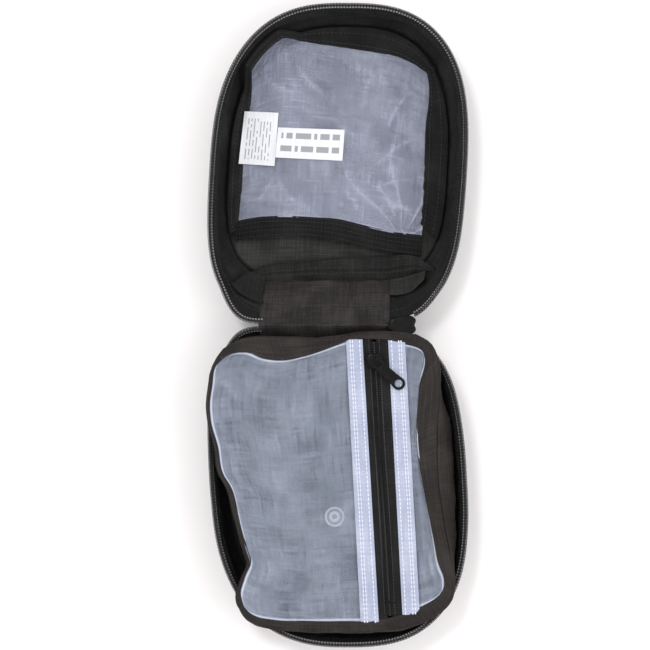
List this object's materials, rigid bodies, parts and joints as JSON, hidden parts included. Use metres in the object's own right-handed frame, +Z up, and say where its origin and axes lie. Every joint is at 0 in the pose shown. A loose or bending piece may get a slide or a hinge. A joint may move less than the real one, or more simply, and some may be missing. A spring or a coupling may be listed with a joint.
{
  "type": "first aid pouch",
  "caption": "Soft zip-round fabric pouch lying open: a lid with a flat mesh pocket, a base with a zipped box-shaped mesh pocket, a fabric spine between them and a belt loop behind.",
  "frame": {"origin": "middle of the bounding box's underside, on the table that the open pouch lies on", "axes": "+Z up from the table, +Y from the base towards the lid across the spine, +X to the right, along the spine"},
  "size_m": [0.1496, 0.3696, 0.0456],
  "materials": {
    "nylon": "matt black woven nylon",
    "ripstop": "brown-black ripstop nylon",
    "lining": "dark grey lining cloth",
    "binding": "black ribbed binding tape",
    "zip_tape": "black zip tape",
    "coil": "black nylon coil",
    "mesh": "translucent pale mesh",
    "white_tape": "white binding tape",
    "slider": "glossy black paint",
    "rubber": "matt black",
    "label": "white satin",
    "clear": "clear",
    "webbing": "black webbing"
  },
  "bodies": {
    "base": {"base_wall": "nylon", "base_back_panel": "nylon", "loop_backing_patch": "nylon", "base_spine_panel": "ripstop", "hinge_fold": "ripstop", "pocket_gusset": "ripstop", "base_lining": "lining", "base_seam_binding": "binding", "pocket_top_border": "binding", "base_zip_tape": "zip_tape", "pocket_zip_tape_left": "zip_tape", "pocket_zip_tape_right": "zip_tape", "base_zip_coil": "coil", "pocket_zip_coil_left": "coil", "pocket_zip_coil_right": "coil", "pocket_mesh_large": "mesh", "pocket_mesh_small": "mesh", "pocket_binding_left": "white_tape", "pocket_binding_right": "white_tape", "main_zip_end_stop": "slider", "pocket_zip_bottom_stop": "slider", "snap_stud": "clear", "snap_stud_cap": "clear", "belt_loop_anchor": "webbing"},
    "lid": {"lid_wall": "nylon", "lid_front_panel": "nylon", "lid_spine_panel": "ripstop", "lid_lining": "lining", "lid_seam_binding": "binding", "lid_pocket_border": "binding", "lid_pocket_elastic": "binding", "lid_hem_band": "binding", "lid_zip_tape": "zip_tape", "lid_zip_coil": "coil", "lid_pocket_mesh": "mesh", "care_label": "label", "batch_label": "label"},
    "main_slider": {"main_slider_body": "slider", "main_slider_bail": "slider"},
    "main_pull": {"main_pull_tab": "rubber"},
    "pocket_slider": {"pocket_slider_body": "slider", "pocket_slider_bail": "slider"},
    "pocket_pull": {"pocket_pull_tab": "slider"},
    "belt_loop": {"belt_loop_strap": "webbing", "snap_socket": "clear", "snap_socket_cap": "clear"}
  },
  "joints": [
    {"name": "lid_fold", "type": "hinge", "parent": "base", "child": "lid", "pos_m": [0, 0, 0.035], "axis": [1, 0, 0], "range_deg": [0, 180]},
    {"name": "main_slider_turn", "type": "hinge", "parent": "base", "child": "main_slider", "pos_m": [0, 0, 0.035], "axis": [1, 0, 0], "range_deg": [0, 90]},
    {"name": "main_pull_swing", "type": "hinge", "parent": "main_slider", "child": "main_pull", "pos_m": [0.03683, 0, 0.0309], "axis": [0, 1, 0], "range_deg": [-85, 60]},
    {"name": "pocket_slider_slide", "type": "slide", "parent": "base", "child": "pocket_slider", "axis": [0.0599, -0.9982, 0], "range_m": [0, 0.1302]},
    {"name": "pocket_pull_swing", "type": "hinge", "parent": "pocket_slider", "child": "pocket_pull", "pos_m": [0.02095, -0.0206, 0.0434], "axis": [0.682, 0.7314, 0], "range_deg": [-150, 0]},
    {"name": "belt_loop_flap", "type": "hinge", "parent": "base", "child": "belt_loop", "pos_m": [-0.0046, -0.06435, 0.0017], "axis": [1, 0, 0], "range_deg": [0, 110]}
  ],
  "couplings": [
    {"joint": "main_slider_turn", "follows": "lid_fold", "ratio": 0.5}
  ]
}
